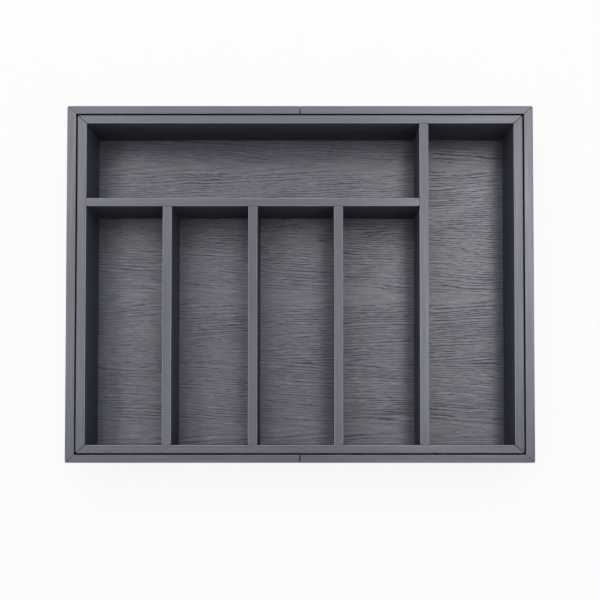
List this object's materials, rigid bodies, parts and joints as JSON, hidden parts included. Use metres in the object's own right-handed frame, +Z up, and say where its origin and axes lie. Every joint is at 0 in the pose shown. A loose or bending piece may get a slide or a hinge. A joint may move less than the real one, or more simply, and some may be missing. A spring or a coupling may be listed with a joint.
{
  "type": "expanding cutlery tray",
  "caption": "Expanding cutlery tray of dark stained wood: a divided main tray inside two mitred end trays that slide out sideways.",
  "frame": {"origin": "on the surface that the tray stands on, under the middle of the closed tray", "axes": "+X to the right along the width, +Y to the back, +Z up"},
  "size_m": [0.47, 0.36, 0.065],
  "materials": {
    "frame_board": "charcoal stain, satin lacquer",
    "divider_board": "charcoal stain, satin lacquer",
    "veneered_panel": "open-grain veneer, charcoal stain",
    "mitre_spline": "bare wood",
    "guide_dowel": "charcoal stain, unlacquered"
  },
  "bodies": {
    "main_tray": {"main_back_board": "frame_board", "main_front_board": "frame_board", "main_left_board": "frame_board", "main_right_board": "frame_board", "main_floor": "veneered_panel", "long_divider": "divider_board", "cross_divider": "divider_board", "slot_divider_1": "divider_board", "slot_divider_2": "divider_board", "slot_divider_3": "divider_board", "main_mitre_splines": "mitre_spline", "left_guide_dowels": "guide_dowel", "right_guide_dowels": "guide_dowel"},
    "left_tray": {"left_end_board": "frame_board", "left_back_rail": "frame_board", "left_front_rail": "frame_board", "left_floor": "veneered_panel", "left_mitre_splines": "mitre_spline"},
    "right_tray": {"right_end_board": "frame_board", "right_back_rail": "frame_board", "right_front_rail": "frame_board", "right_floor": "veneered_panel", "right_mitre_splines": "mitre_spline"}
  },
  "joints": [
    {"name": "left_slide", "type": "slide", "parent": "main_tray", "child": "left_tray", "axis": [-1, 0, 0], "range_m": [0, 0.11]},
    {"name": "right_slide", "type": "slide", "parent": "main_tray", "child": "right_tray", "axis": [1, 0, 0], "range_m": [0, 0.11]}
  ]
}
